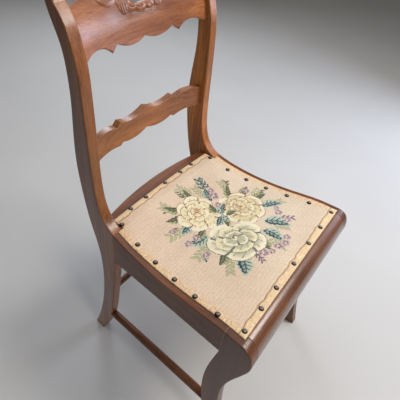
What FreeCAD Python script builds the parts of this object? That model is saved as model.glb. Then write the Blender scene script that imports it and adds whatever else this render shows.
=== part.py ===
import FreeCAD, Part
import math
import os

# A side chair with sabre legs, a bowed and carved back and a nailed needlework seat.
# Millimetres. +Z is up and the sitter faces -Y. While it is built, Y = 0 is the middle of the side
# rails, and at the end everything moves so that the origin lies on the floor under the middle.

V = FreeCAD.Vector

# Overall sizes
SEAT_HEIGHT = 452.0        # top of the front and rear seat rails
CREST_HEIGHT = 862.0       # top of the crest rail
FRONT_WIDTH = 408.0        # over the side frames, at the joint with the front legs
REAR_WIDTH = 359.0         # over the side frames, at the joint with the rear posts
SEAT_DEPTH = 276.0         # from the front leg joint to the rear post joint

# Side frames
FRAME_THICK = 22.0         # board that the posts and front legs are sawn from
RAIL_WIDTH = 48.0          # seat rails, measured inwards from the outer face
ARRIS = 2.0                # rounding of the long edges
POST_HEIGHT = 838.0        # where the front of the post ends in its rounded top
CROWN_RISE = 7.2           # of the rounded top, above its ends
CROWN_LEAN = 2.4           # backwards, of its highest point
POST_JOINT_DROP = 84.0     # height of the side rail where it meets the post
LEG_JOINT_DROP = 66.0      # height of the side rail where it meets the front leg
RAIL_DROP = 74.0           # height of the side rail at its middle

# Outlines of the side frames: share of the height, then depth from the joint in millimetres
RAIL_DIP = ((0.05, 0.6), (0.27, 8.5), (0.58, 15.0), (0.83, 10.5), (0.95, 4.2))
REAR_LEG_FRONT = ((0.0, 72.0), (0.14, 51.0), (0.34, 30.0), (0.61, 15.0), (0.86, 4.5), (1.0, 0.0))
BACK_LINE = ((0.013, 11.0), (0.044, 25.0), (0.117, 40.0), (0.19, 45.5), (0.337, 48.8), (0.483, 49.8),
             (0.629, 51.5), (0.75, 55.0), (0.839, 64.0), (0.883, 72.0), (0.939, 91.0), (1.0, 115.0),
             (1.06, 138.0))
POST_BACK = ((0.935, 113.0), (0.876, 102.5), (0.81, 89.5), (0.717, 83.0), (0.605, 82.5), (0.51, 86.0),
             (0.41, 90.0), (0.29, 91.5), (0.2, 88.5), (0.085, 82.0))
REAR_LEG_BACK = ((0.962, 71.0), (0.794, 49.5), (0.646, 45.0), (0.449, 52.0), (0.254, 69.0), (0.0, 104.0))
KNEE = ((0.998, -38.0), (0.985, -49.0), (0.947, -58.5), (0.905, -61.0), (0.85, -56.0), (0.765, -44.0),
        (0.657, -31.0), (0.542, -26.0), (0.442, -28.0), (0.288, -36.0), (0.133, -48.0), (0.0, -62.0))
KNEE_FLAT = 30.0           # level top of the front leg and front rail, ahead of the joint
LEG_BACK = ((0.743, 9.0), (0.62, 16.0), (0.54, 17.0), (0.43, 14.0), (0.30, 4.0), (0.14, -12.0), (0.0, -34.0))

# Front and rear seat rails
FRONT_RAIL_DROP = 64.0
REAR_RAIL_DROP = 64.0
REAR_RAIL_DEPTH = 39.0     # at the posts
REAR_RAIL_BOW = 18.5

# Back rails, bent round one upright axis
BACK_BOW = 19.5            # how far the crest and the slat bow backwards between the posts
CREST_THICK = 18.0
CREST_SETBACK = 9.5        # behind the front of the posts
CREST_LOW = 110.0          # lowest scallop, below the crest's top
SLAT_THICK = 16.0          # at the middle
SLAT_END_THICK = 11.0      # at the posts
SLAT_SETBACK = 11.0
SLAT_LOW = 568.0           # lowest scallop, above the floor
SLAT_HEIGHT = 44.0         # plain height of the slat between its scallops
HOLD_WIDTH = 60.0          # pierced hand-hold
HOLD_HEIGHT = 34.0
HOLD_DROP = 37.0           # its middle, below the crest's top

# Outlines of the back rails: share of the half span, then height; two points are a line, three an arc
CREST_SCALLOPS = (((0.0, 7.0), (0.22, 0.0), (0.45, 10.0)), ((0.45, 10.0), (0.545, 0.0)),
                  ((0.545, 0.0), (0.727, 13.5), (0.948, 4.5)), ((0.948, 4.5), (1.1, 4.5)))
CREST_TOP = (((1.1, -36.0), (0.88, -34.0), (0.70, -27.0)), ((0.70, -27.0), (0.54, -6.0), (0.34, -9.0)),
             ((0.34, -9.0), (0.17, -1.5), (0.0, 0.0)))
SLAT_SCALLOPS = (((0.0, 7.5), (0.24, 0.0), (0.465, 7.0)), ((0.465, 7.0), (0.515, 2.5)),
                 ((0.515, 2.5), (0.75, 9.0), (1.1, 3.0)))
SLAT_TOP = (((1.1, -3.0), (0.76, 9.5), (0.56, 1.0)), ((0.56, 1.0), (0.49, 8.5)),
            ((0.49, 8.5), (0.24, 0.0), (0.0, 9.0)))

# Tenons of the back rails
TENON_LENGTH = 12.0
TENON_ROOT = 3.0           # inside the rail
TENON_THICK = 8.0
TENON_SHOULDER = 14.0      # above and below the tenon
CREST_TENON_HEIGHT = 32.0
GLUE_GAP = 0.1

# Stretchers
SIDE_STRETCHER_DIA = 19.0
SIDE_STRETCHER_FRONT = 148.0
SIDE_STRETCHER_REAR = 112.0
REAR_STRETCHER_DIA = 15.0
REAR_STRETCHER_HEIGHT = 220.0
STRETCHER_TENON_DIA = 11.0
STRETCHER_TENON = 12.0

# Dowels of the seat rails
DOWEL_DIA = 10.0
DOWEL_LENGTH = 36.0
DOWEL_DROPS = (22.0, 46.0)
CROSS_DOWEL_SEAT = 14.0    # how deep the front and rear rail dowels go into leg or post
FRONT_DOWEL_DEPTH = 34.0   # ahead of the front joint
REAR_DOWEL_DEPTH = 25.0    # behind the rear joint

# Corner blocks and their screws
BLOCK_LEG = 46.0
BLOCK_HEIGHT = 32.0
BLOCK_DROP = 32.0          # top of the block below the seat rails
SCREW_DIA = 4.0
SCREW_HEAD_DIA = 8.0
SCREW_HEAD = 3.0
SCREW_LENGTH = 34.0
SCREW_GRIP = 14.0          # block left under the screw's head
SCREW_ALONG = 17.0         # from the corner
SCREW_SPREAD = 8.0         # each screw's distance from the block's mid height

# Seat layers
REBATE_WIDTH = 14.0
REBATE_DEPTH = 12.0
SOFT_GAP = 0.3
COVER_THICK = 1.8
COVER_SIDE = 13.0          # bare rail outside the cover
COVER_FRONT = 32.0         # cover's front edge, ahead of the front joint
COVER_BACK = 25.5          # cover's back edge at the posts, behind the rear joint
COVER_BOW = 3.5
COVER_POST_GAP = 2.5
STRAP_WIDTH = 50.0
STRAP_THICK = 1.5
CLOTH_THICK = 1.0
CROSS_STRAPS = 3
LONG_STRAPS = 4
CROSS_PITCH = 88.0
LONG_PITCH = 68.0

# Nails and tacks
NAIL_DIA = 10.5
NAIL_DOME = 3.6
NAIL_SHANK_DIA = 2.0
NAIL_LENGTH = 13.0
NAILS_BETWEEN = 5          # on each side, between two corner nails
NAIL_FRONT = 24.0          # ahead of the front joint
NAIL_REAR_CORNER = 5.5     # behind the rear joint
NAIL_EDGE = 4.5            # from the cover's back edge
TACK_DIA = 6.0
TACK_HEAD = 0.8
TACK_SHANK_DIA = 1.6
TACK_LENGTH = 9.0
TACK_SPREAD = 14.0

# Hand-driven nails: share of the way from the cover's side edge to the rebate, for the front corner nail
# and the first and the last nail after it,
NAIL_SHARES = {"left": (0.775, 0.75, 0.975), "right": (0.525, 0.175, 0.55)}
# how far the rear corner nail stands from the post's inner face,
NAIL_POST_GAPS = {"left": 10.0, "right": 7.5}
# and how far each nail strays from even spacing, from the right side to the left
FRONT_STRAYS = (-7.0, -13.0, -3.0, 3.0, 1.0)
BACK_STRAYS = (-7.0, -10.0, 3.0, 6.0, -4.0)

FAR = 500.0                # beyond the chair on every side
BISECTIONS = 60
SIDES = {"left": 1, "right": -1}

FRONT_JOINT = -SEAT_DEPTH / 2
REAR_JOINT = SEAT_DEPTH / 2
JOINTS = (FRONT_JOINT, REAR_JOINT)
BACK_RISE = CREST_HEIGHT - SEAT_HEIGHT


def half_width(depth):
    """Half the width over the side frames at a depth."""
    slope = (REAR_WIDTH - FRONT_WIDTH) / 2 / SEAT_DEPTH
    return FRONT_WIDTH / 2 + slope * (depth - FRONT_JOINT)


def spline(points):
    """Smooth curve through (depth, height) points."""
    line = Part.BSplineCurve()
    line.interpolate(Points=[V(0, depth, height) for depth, height in points])
    return line


def parameter_at(line, height):
    """Where a curve that only climbs or only falls reaches a height."""
    low = line.FirstParameter
    high = line.LastParameter
    rising = line.value(high).z > line.value(low).z
    for _ in range(BISECTIONS):
        middle = (low + high) / 2
        if (line.value(middle).z < height) == rising:
            low = middle
        else:
            high = middle
    return (low + high) / 2


def depth_at(line, height):
    return line.value(parameter_at(line, height)).y


def stretch(line, end_height, start_height=None):
    """Edge along a curve up to a height, from its start or from another height."""
    start = line.FirstParameter if start_height is None else parameter_at(line, start_height)
    return line.toShape(start, parameter_at(line, end_height))


def straight(start, end):
    return Part.LineSegment(V(0, *start), V(0, *end)).toShape()


def face_of(edges):
    return Part.Face(Part.Wire(Part.__sortEdges__(edges)))


def across(edges):
    """Solid across the whole chair with this outline in depth and height."""
    face = face_of(edges)
    face.translate(V(-FAR, 0, 0))
    return face.extrude(V(2 * FAR, 0, 0))


def upright(points, low=-FAR, high=2 * FAR):
    """Upright prism on a plan outline of (x, depth) points."""
    wire = Part.makePolygon([V(x, depth, low) for x, depth in points + points[:1]])
    return Part.Face(wire).extrude(V(0, 0, high - low))


def side_slab(side, outer_inset, inner_inset):
    """Upright slab along one side frame, between two distances from its outer face."""
    return upright([(side * (half_width(depth) - inset), depth)
                    for depth, inset in ((-FAR, outer_inset), (FAR, outer_inset),
                                         (FAR, inner_inset), (-FAR, inner_inset))])


def between(inset, front=-FAR, rear=FAR):
    """Everything between the two side frames, set in from their outer faces."""
    front_half = half_width(front) - inset
    rear_half = half_width(rear) - inset
    return upright([(-front_half, front), (front_half, front), (rear_half, rear), (-rear_half, rear)])


def rod(start, end, diameter):
    axis = end - start
    return Part.makeCylinder(diameter / 2, axis.Length, start, axis)


def turned(outline):
    """Solid turned about Z from (radius, height) points; three points together are an arc."""
    edges = []
    for points in outline:
        vectors = [V(radius, 0, height) for radius, height in points]
        curve = Part.Arc(*vectors) if len(vectors) == 3 else Part.LineSegment(*vectors)
        edges.append(curve.toShape())
    return face_of(edges).revolve(V(0, 0, 0), V(0, 0, 1), 360)


def soften(shape):
    """Round the outline edges of a side frame piece, but not those on its joints or on the floor."""
    edges = []
    for edge in shape.Edges:
        box = edge.BoundBox
        on_joint = box.YLength < ARRIS and min(abs(box.Center.y - joint) for joint in JOINTS) < ARRIS
        on_floor = box.ZMax < ARRIS
        crossing = box.XLength > box.YLength + box.ZLength
        if not (on_joint or on_floor or crossing):
            edges.append(edge)
    return shape.makeFillet(ARRIS, edges)


# Curves that the pieces share
rail_top = spline([(FRONT_JOINT, SEAT_HEIGHT)]
                  + [(FRONT_JOINT + share * SEAT_DEPTH, SEAT_HEIGHT - dip) for share, dip in RAIL_DIP]
                  + [(REAR_JOINT, SEAT_HEIGHT)])
back_line = spline([(REAR_JOINT, SEAT_HEIGHT)]
                   + [(REAR_JOINT + depth, SEAT_HEIGHT + share * BACK_RISE) for share, depth in BACK_LINE])
knee_line = spline([(FRONT_JOINT - KNEE_FLAT, SEAT_HEIGHT)]
                   + [(FRONT_JOINT + depth, share * SEAT_HEIGHT) for share, depth in KNEE])
post_joint_low = SEAT_HEIGHT - POST_JOINT_DROP
leg_joint_low = SEAT_HEIGHT - LEG_JOINT_DROP
rear_leg_front = spline([(REAR_JOINT + depth, share * post_joint_low) for share, depth in REAR_LEG_FRONT])
post_back = spline([(REAR_JOINT + depth, SEAT_HEIGHT + share * BACK_RISE) for share, depth in POST_BACK]
                   + [(REAR_JOINT + depth, share * SEAT_HEIGHT) for share, depth in REAR_LEG_BACK])
leg_back = spline([(FRONT_JOINT, leg_joint_low)]
                  + [(FRONT_JOINT + depth, share * SEAT_HEIGHT) for share, depth in LEG_BACK])
rail_low = Part.Arc(V(0, FRONT_JOINT, leg_joint_low), V(0, 0, SEAT_HEIGHT - RAIL_DROP),
                    V(0, REAR_JOINT, post_joint_low)).toShape()

# Axis that the crest and the slat bend round
crest_low = CREST_HEIGHT - CREST_LOW
back_depth = depth_at(back_line, crest_low)
back_span = half_width(back_depth) - FRAME_THICK
bend_radius = (back_span ** 2 + BACK_BOW ** 2) / 2 / BACK_BOW
bend_axis = V(0, back_depth + BACK_BOW - bend_radius, 0)


def post_blank(side):
    """Rear leg and back post in one piece."""
    top_front = back_line.value(parameter_at(back_line, POST_HEIGHT))
    top_back = post_back.value(post_back.FirstParameter)
    crown = (top_front + top_back) / 2 + V(0, CROWN_LEAN, CROWN_RISE)
    outline = [rear_leg_front.toShape(),
               straight((REAR_JOINT, post_joint_low), (REAR_JOINT, SEAT_HEIGHT)),
               stretch(back_line, POST_HEIGHT),
               Part.Arc(top_front, crown, top_back).toShape(),
               post_back.toShape(),
               straight((REAR_JOINT + REAR_LEG_BACK[-1][1], 0), (REAR_JOINT + REAR_LEG_FRONT[0][1], 0))]
    return soften(across(outline).common(side_slab(side, 0, FRAME_THICK)))


def leg_blank(side):
    """Front leg with its rolled knee."""
    outline = [straight((FRONT_JOINT, leg_joint_low), (FRONT_JOINT, SEAT_HEIGHT)),
               straight((FRONT_JOINT, SEAT_HEIGHT), (FRONT_JOINT - KNEE_FLAT, SEAT_HEIGHT)),
               knee_line.toShape(),
               straight((FRONT_JOINT + KNEE[-1][1], 0), (FRONT_JOINT + LEG_BACK[-1][1], 0)),
               leg_back.toShape()]
    return soften(across(outline).common(side_slab(side, 0, FRAME_THICK)))


def side_rail_blank(side):
    outline = [rail_top.toShape(), rail_low,
               straight((FRONT_JOINT, leg_joint_low), (FRONT_JOINT, SEAT_HEIGHT)),
               straight((REAR_JOINT, post_joint_low), (REAR_JOINT, SEAT_HEIGHT))]
    return soften(across(outline).common(side_slab(side, 0, RAIL_WIDTH)))


def front_rail_blank():
    """Front rail with the same roll as the knees, between the front legs."""
    low = SEAT_HEIGHT - FRONT_RAIL_DROP
    outline = [straight((FRONT_JOINT, low), (FRONT_JOINT, SEAT_HEIGHT)),
               straight((FRONT_JOINT, SEAT_HEIGHT), (FRONT_JOINT - KNEE_FLAT, SEAT_HEIGHT)),
               stretch(knee_line, low),
               straight((depth_at(knee_line, low), low), (FRONT_JOINT, low))]
    return across(outline).common(between(FRAME_THICK))


def bowed_plan(front, rear, bow, half):
    """Plan face with a straight front and a back edge that bows out."""
    corners = [V(-half, rear, 0), V(-half, front, 0), V(half, front, 0), V(half, rear, 0)]
    edges = [Part.LineSegment(a, b).toShape() for a, b in zip(corners, corners[1:])]
    edges.append(Part.Arc(corners[0], V(0, rear + bow, 0), corners[3]).toShape())
    return face_of(edges)


def rear_rail_blank():
    half = half_width(REAR_JOINT) - FRAME_THICK
    plan = bowed_plan(REAR_JOINT, REAR_JOINT + REAR_RAIL_DEPTH, REAR_RAIL_BOW, half)
    plan.translate(V(0, 0, SEAT_HEIGHT - REAR_RAIL_DROP))
    return plan.extrude(V(0, 0, REAR_RAIL_DROP)).common(between(FRAME_THICK))


def bent_board(setback, thickness, low, high):
    """Board that follows the back's line upwards and bends round the back's axis."""
    front = stretch(back_line, high, low)
    front.translate(V(0, BACK_BOW + setback, 0))
    back = front.copy()
    back.translate(V(0, thickness, 0))
    ends = [Part.LineSegment(a.Point, b.Point).toShape() for a, b in zip(front.Vertexes, back.Vertexes)]
    face = face_of([front, back] + ends)
    swing = math.degrees(math.asin(half_width(back_depth) / bend_radius))
    face.rotate(bend_axis, V(0, 0, 1), -swing)
    return face.revolve(bend_axis, V(0, 0, 1), 2 * swing)


def scalloped(lower, low, upper, high):
    """Front outline that is the same on both sides of the middle."""
    edges = []
    for runs, base in ((lower, low), (upper, high)):
        for run in runs:
            for side in SIDES.values():
                points = [V(side * share * back_span, -FAR, base + rise) for share, rise in run]
                curve = Part.Arc(*points) if len(points) == 3 else Part.LineSegment(*points)
                edges.append(curve.toShape())
    end_low = lower[-1][-1]
    end_high = upper[0][0]
    for side in SIDES.values():
        edges.append(Part.LineSegment(V(side * end_low[0] * back_span, -FAR, low + end_low[1]),
                                      V(side * end_high[0] * back_span, -FAR, high + end_high[1])).toShape())
    return face_of(edges).extrude(V(0, 2 * FAR, 0))


def tenon(side, setback, thickness, low, height, gap=0.0):
    """Tenon from a back rail into a post, or with a gap the mortise for it."""
    depth = depth_at(back_line, low + height / 2) + setback + thickness / 2
    block = Part.makeBox(2 * FAR, TENON_THICK + 2 * gap, height + 2 * gap,
                         V(-FAR, depth - TENON_THICK / 2 - gap, low - gap))
    return block.common(side_slab(side, FRAME_THICK - TENON_LENGTH - gap, FRAME_THICK + TENON_ROOT))


CREST_TENON = (CREST_SETBACK, CREST_THICK, crest_low + TENON_SHOULDER, CREST_TENON_HEIGHT)
SLAT_TENON = (SLAT_SETBACK, SLAT_END_THICK, SLAT_LOW + TENON_SHOULDER, SLAT_HEIGHT - TENON_SHOULDER)


def crest_rail():
    board = bent_board(CREST_SETBACK, CREST_THICK, crest_low - CREST_THICK, CREST_HEIGHT + CREST_THICK)
    rail = board.common(scalloped(CREST_SCALLOPS, crest_low, CREST_TOP, CREST_HEIGHT))
    hold = Part.Ellipse(V(HOLD_WIDTH / 2, -FAR, CREST_HEIGHT - HOLD_DROP),
                        V(0, -FAR, CREST_HEIGHT - HOLD_DROP + HOLD_HEIGHT / 2),
                        V(0, -FAR, CREST_HEIGHT - HOLD_DROP))
    rail = rail.cut(face_of([hold.toShape()]).extrude(V(0, 2 * FAR, 0)))
    rail = rail.common(between(FRAME_THICK))
    return rail.fuse([tenon(side, *CREST_TENON) for side in SIDES.values()]).removeSplitter()


def back_slat():
    board = bent_board(SLAT_SETBACK, 2 * SLAT_THICK, SLAT_LOW - SLAT_THICK, SLAT_LOW + 2 * SLAT_HEIGHT)
    rail = board.common(scalloped(SLAT_SCALLOPS, SLAT_LOW, SLAT_TOP, SLAT_LOW + SLAT_HEIGHT))
    bow = BACK_BOW + SLAT_THICK - SLAT_END_THICK
    radius = (back_span ** 2 + bow ** 2) / 2 / bow
    middle = depth_at(back_line, SLAT_LOW + SLAT_HEIGHT / 2) + SLAT_SETBACK + BACK_BOW + SLAT_THICK
    rail = rail.common(Part.makeCylinder(radius, CREST_HEIGHT, V(0, middle - radius, 0)))
    rail = rail.common(between(FRAME_THICK))
    return rail.fuse([tenon(side, *SLAT_TENON) for side in SIDES.values()]).removeSplitter()


def mid_board(side, depth, height):
    """Point in the middle of a side frame's thickness."""
    return V(side * (half_width(depth) - FRAME_THICK / 2), depth, height)


def side_stretcher_ends(side):
    front = depth_at(leg_back, SIDE_STRETCHER_FRONT) - STRETCHER_TENON
    rear = depth_at(rear_leg_front, SIDE_STRETCHER_REAR) + STRETCHER_TENON
    return mid_board(side, front, SIDE_STRETCHER_FRONT), mid_board(side, rear, SIDE_STRETCHER_REAR)


def rear_stretcher_ends():
    front = depth_at(rear_leg_front, REAR_STRETCHER_HEIGHT)
    depth = (front + depth_at(post_back, REAR_STRETCHER_HEIGHT)) / 2
    half = half_width(depth) - FRAME_THICK + STRETCHER_TENON
    return V(-half, depth, REAR_STRETCHER_HEIGHT), V(half, depth, REAR_STRETCHER_HEIGHT)


def stretcher(ends, diameter, neighbours):
    """Round stretcher whose shoulders fit the legs, with a thinner tenon at each end."""
    return rod(*ends, diameter).cut(neighbours).fuse(rod(*ends, STRETCHER_TENON_DIA))


def side_dowels(side):
    """Dowels along the side rails, into the front legs and the posts."""
    dowels = []
    for joint in JOINTS:
        for drop in DOWEL_DROPS:
            ends = [mid_board(side, joint + reach, SEAT_HEIGHT - drop)
                    for reach in (-DOWEL_LENGTH / 2, DOWEL_LENGTH / 2)]
            dowels.append(rod(*ends, DOWEL_DIA))
    return dowels


def cross_dowels(side):
    """Dowels of the front and rear rails, into the sides of the legs and posts."""
    dowels = []
    for depth in (FRONT_JOINT - FRONT_DOWEL_DEPTH, REAR_JOINT + REAR_DOWEL_DEPTH):
        outer = half_width(depth) - FRAME_THICK + CROSS_DOWEL_SEAT
        for drop in DOWEL_DROPS:
            ends = [V(side * x, depth, SEAT_HEIGHT - drop) for x in (outer, outer - DOWEL_LENGTH)]
            dowels.append(rod(*ends, DOWEL_DIA))
    return dowels


def screw(seat, axis):
    """Countersunk screw with its head's flat top at a point, driven along an axis."""
    head = SCREW_HEAD_DIA / 2
    shank = SCREW_DIA / 2
    body = turned((((0, 0), (head, 0)), ((head, 0), (shank, -SCREW_HEAD)),
                   ((shank, -SCREW_HEAD), (shank, -SCREW_LENGTH)),
                   ((shank, -SCREW_LENGTH), (0, -SCREW_LENGTH)), ((0, -SCREW_LENGTH), (0, 0))))
    body.Placement = FreeCAD.Placement(seat, FreeCAD.Rotation(V(0, 0, -1), axis))
    return body


def corner(side, joint, inward):
    """Corner block with its two screws; inward is the way from the joint into the seat."""
    inner = [side * (half_width(depth) - RAIL_WIDTH) for depth in (joint, joint + inward * BLOCK_LEG)]
    top = SEAT_HEIGHT - BLOCK_DROP
    block = upright([(inner[0], joint), (inner[1], joint + inward * BLOCK_LEG),
                     (inner[0] - side * BLOCK_LEG, joint)], top - BLOCK_HEIGHT, top)
    middle = top - BLOCK_HEIGHT / 2
    grip = SCREW_GRIP + SCREW_HEAD
    side_depth = joint + inward * SCREW_ALONG
    side_x = side * (half_width(side_depth) - RAIL_WIDTH - grip)
    rail_x = inner[0] - side * SCREW_ALONG
    seats = ((V(side_x, side_depth, middle + SCREW_SPREAD), V(side, 0, 0)),
             (V(rail_x, joint + inward * grip, middle - SCREW_SPREAD), V(0, -inward, 0)))
    screws = [screw(seat, axis) for seat, axis in seats]
    bores = [rod(seat, seat - axis * BLOCK_LEG, SCREW_HEAD_DIA) for seat, axis in seats]
    return block.cut(screws + bores), screws


def seat_line(lift):
    """Top of the seat rails from front to back, lifted by an amount."""
    middle = rail_top.toShape()
    middle.translate(V(0, 0, lift))
    height = SEAT_HEIGHT + lift
    return [straight((FRONT_JOINT - FAR / 2, height), (FRONT_JOINT, height)), middle,
            straight((REAR_JOINT, height), (REAR_JOINT + FAR / 2, height))]


def seat_layer(low, high, plan):
    """Layer of the seat between two distances from the tops of the rails, cut to a plan."""
    ends = [straight((depth, SEAT_HEIGHT + low), (depth, SEAT_HEIGHT + high))
            for depth in (FRONT_JOINT - FAR / 2, REAR_JOINT + FAR / 2)]
    return across(seat_line(low) + seat_line(high) + ends).common(plan)


def seat_top(depth):
    """Height of the seat rails' tops at a depth."""
    if depth <= FRONT_JOINT or depth >= REAR_JOINT:
        return SEAT_HEIGHT
    low = rail_top.FirstParameter
    high = rail_top.LastParameter
    for _ in range(BISECTIONS):
        middle = (low + high) / 2
        if rail_top.value(middle).y < depth:
            low = middle
        else:
            high = middle
    return rail_top.value(low).z


def cover_back(x):
    """Back edge of the cover, which bows a little."""
    half = half_width(REAR_JOINT) - FRAME_THICK
    return REAR_JOINT + COVER_BACK + COVER_BOW * (1 - (x / half) ** 2)


def cover_plan():
    """Plan of the cover, cut round the posts."""
    side_end = REAR_JOINT - COVER_POST_GAP
    sides = between(COVER_SIDE, FRONT_JOINT - COVER_FRONT, side_end)
    tongue_half = half_width(REAR_JOINT + COVER_BACK) - FRAME_THICK - COVER_POST_GAP
    tongue = bowed_plan(side_end - COVER_BACK, REAR_JOINT + COVER_BACK, COVER_BOW, tongue_half)
    tongue.translate(V(0, 0, -FAR))
    return sides.fuse(tongue.extrude(V(0, 0, 3 * FAR)))


def spaced(count, pitch):
    """Places at a pitch, centred on zero."""
    return [(index - (count - 1) / 2) * pitch for index in range(count)]


def shares_between(count):
    return [(index + 1) / (count + 1) for index in range(count)]


def nail_places():
    """Corner nails, then the nails between them along each edge of the cover."""
    front = FRONT_JOINT - NAIL_FRONT
    rear = REAR_JOINT + NAIL_REAR_CORNER
    band = RAIL_WIDTH - REBATE_WIDTH - NAIL_SHANK_DIA / 2 - COVER_SIDE
    places = []
    ends = {}
    for name, side in SIDES.items():
        front_corner, first, last = [COVER_SIDE + share * band for share in NAIL_SHARES[name]]
        rear_corner = FRAME_THICK + NAIL_POST_GAPS[name]
        ends[name] = (side * (half_width(front) - front_corner), side * (half_width(rear) - rear_corner))
        places += [(ends[name][0], front), (ends[name][1], rear)]
        for index, share in enumerate(shares_between(NAILS_BETWEEN)):
            depth = front + share * (rear - front)
            inset = first + (last - first) * index / (NAILS_BETWEEN - 1)
            places.append((side * (half_width(depth) - inset), depth))
    evenly = [[right + share * (left - right) for share in shares_between(NAILS_BETWEEN)]
              for left, right in zip(ends["left"], ends["right"])]
    places += [(x + stray, front) for x, stray in zip(evenly[0], FRONT_STRAYS)]
    places += [(x + stray, cover_back(x + stray) - NAIL_EDGE) for x, stray in zip(evenly[1], BACK_STRAYS)]
    return places


def pinned(outline, places):
    """Copies of a turned fastener, with the underside of their heads at these points."""
    fastener = turned(outline)
    copies = []
    for place in places:
        copy = fastener.copy()
        copy.translate(place)
        copies.append(copy)
    return copies


def decorative_nails():
    head = NAIL_DIA / 2
    shank = NAIL_SHANK_DIA / 2
    shoulder = (head * math.sqrt(0.5), NAIL_DOME * math.sqrt(0.5))
    outline = (((0, NAIL_DOME), shoulder, (head, 0)), ((head, 0), (shank, 0)),
               ((shank, 0), (shank, -NAIL_LENGTH)), ((shank, -NAIL_LENGTH), (0, -NAIL_LENGTH)),
               ((0, -NAIL_LENGTH), (0, NAIL_DOME)))
    return pinned(outline, [V(x, depth, seat_top(depth) + COVER_THICK) for x, depth in nail_places()])


def tack_places():
    """Two tacks at each end of every strap, in the rebate of the rails."""
    places = []
    for depth in spaced(CROSS_STRAPS, CROSS_PITCH):
        for offset in (-TACK_SPREAD, TACK_SPREAD):
            y = depth + offset
            x = half_width(y) - RAIL_WIDTH + REBATE_WIDTH / 2
            height = seat_top(y) - REBATE_DEPTH + STRAP_THICK
            places += [V(x, y, height), V(-x, y, height)]
    for middle in spaced(LONG_STRAPS, LONG_PITCH):
        height = SEAT_HEIGHT - REBATE_DEPTH + long_strap_low + STRAP_THICK
        for offset in (-TACK_SPREAD, TACK_SPREAD):
            for y in (FRONT_JOINT - REBATE_WIDTH / 2, REAR_JOINT + REBATE_WIDTH / 2):
                places.append(V(middle + offset, y, height))
    return places


def webbing_tacks():
    head = TACK_DIA / 2
    shank = TACK_SHANK_DIA / 2
    outline = (((0, TACK_HEAD), (head, TACK_HEAD)), ((head, TACK_HEAD), (head, 0)), ((head, 0), (shank, 0)),
               ((shank, 0), (shank, -TACK_LENGTH)), ((shank, -TACK_LENGTH), (0, -TACK_LENGTH)),
               ((0, -TACK_LENGTH), (0, TACK_HEAD)))
    return pinned(outline, tack_places())


# Heights of the seat layers, above the floor of the rebate
long_strap_low = STRAP_THICK + SOFT_GAP
cloth_low = long_strap_low + STRAP_THICK + TACK_HEAD + SOFT_GAP
padding_low = cloth_low + CLOTH_THICK + SOFT_GAP
rebate_floor = -REBATE_DEPTH

rebate_plan = between(RAIL_WIDTH - REBATE_WIDTH, FRONT_JOINT - REBATE_WIDTH, REAR_JOINT + REBATE_WIDTH)
soft_plan = between(RAIL_WIDTH - REBATE_WIDTH + SOFT_GAP, FRONT_JOINT - REBATE_WIDTH + SOFT_GAP,
                    REAR_JOINT + REBATE_WIDTH - SOFT_GAP)
rebate = seat_layer(rebate_floor, FAR / 2, rebate_plan)

nails = decorative_nails()
tacks = webbing_tacks()
parts = {}
groups = {"decorative_nails": nails, "webbing_tacks": tacks, "rail_dowels": [], "block_screws": []}

# Corner blocks
for name, side in SIDES.items():
    for place, joint, inward in (("front", FRONT_JOINT, 1), ("rear", REAR_JOINT, -1)):
        block, screws = corner(side, joint, inward)
        parts["corner_block_%s_%s" % (place, name)] = block
        groups["block_screws"] += screws
    groups["rail_dowels"] += side_dowels(side) + cross_dowels(side)
rail_fixings = groups["rail_dowels"] + groups["block_screws"] + nails + tacks

# Side frames and stretchers
rear_ends = rear_stretcher_ends()
rear_bore = rod(*rear_ends, STRETCHER_TENON_DIA)
posts = []
for name, side in SIDES.items():
    ends = side_stretcher_ends(side)
    bore = rod(*ends, STRETCHER_TENON_DIA)
    post = post_blank(side)
    leg = leg_blank(side)
    posts.append(post)
    parts["side_stretcher_" + name] = stretcher(ends, SIDE_STRETCHER_DIA, [post, leg])
    mortises = [tenon(side, *sizes, gap=GLUE_GAP) for sizes in (CREST_TENON, SLAT_TENON)]
    parts["rear_post_" + name] = post.cut(mortises + [bore, rear_bore] + groups["rail_dowels"])
    parts["front_leg_" + name] = leg.cut([bore] + groups["rail_dowels"] + nails)
    parts["side_rail_" + name] = side_rail_blank(side).cut([rebate] + rail_fixings)
parts["rear_stretcher"] = stretcher(rear_ends, REAR_STRETCHER_DIA, posts)
parts["front_rail"] = front_rail_blank().cut([rebate] + rail_fixings)
parts["rear_seat_rail"] = rear_rail_blank().cut([rebate] + rail_fixings)

# Back
parts["crest_rail"] = crest_rail()
parts["back_slat"] = back_slat()

# Seat
for index, depth in enumerate(spaced(CROSS_STRAPS, CROSS_PITCH)):
    lane = Part.makeBox(2 * FAR, STRAP_WIDTH, 2 * FAR, V(-FAR, depth - STRAP_WIDTH / 2, 0))
    strap = seat_layer(rebate_floor, rebate_floor + STRAP_THICK, soft_plan.common(lane))
    parts["webbing_cross_%d" % (index + 1)] = strap.cut(tacks + nails)
for index, x in enumerate(spaced(LONG_STRAPS, LONG_PITCH)):
    lane = Part.makeBox(STRAP_WIDTH, 2 * FAR, 2 * FAR, V(x - STRAP_WIDTH / 2, -FAR, 0))
    low = rebate_floor + long_strap_low
    strap = seat_layer(low, low + STRAP_THICK, soft_plan.common(lane))
    parts["webbing_long_%d" % (index + 1)] = strap.cut(tacks + nails)
hessian = seat_layer(rebate_floor + cloth_low, rebate_floor + cloth_low + CLOTH_THICK, soft_plan)
parts["base_cloth"] = hessian.cut(nails)
parts["seat_padding"] = seat_layer(rebate_floor + padding_low, -SOFT_GAP, soft_plan).cut(nails)
parts["seat_cover"] = seat_layer(0, COVER_THICK, cover_plan()).cut(nails)

for name, solids in groups.items():
    parts[name] = Part.makeCompound(solids)

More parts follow.
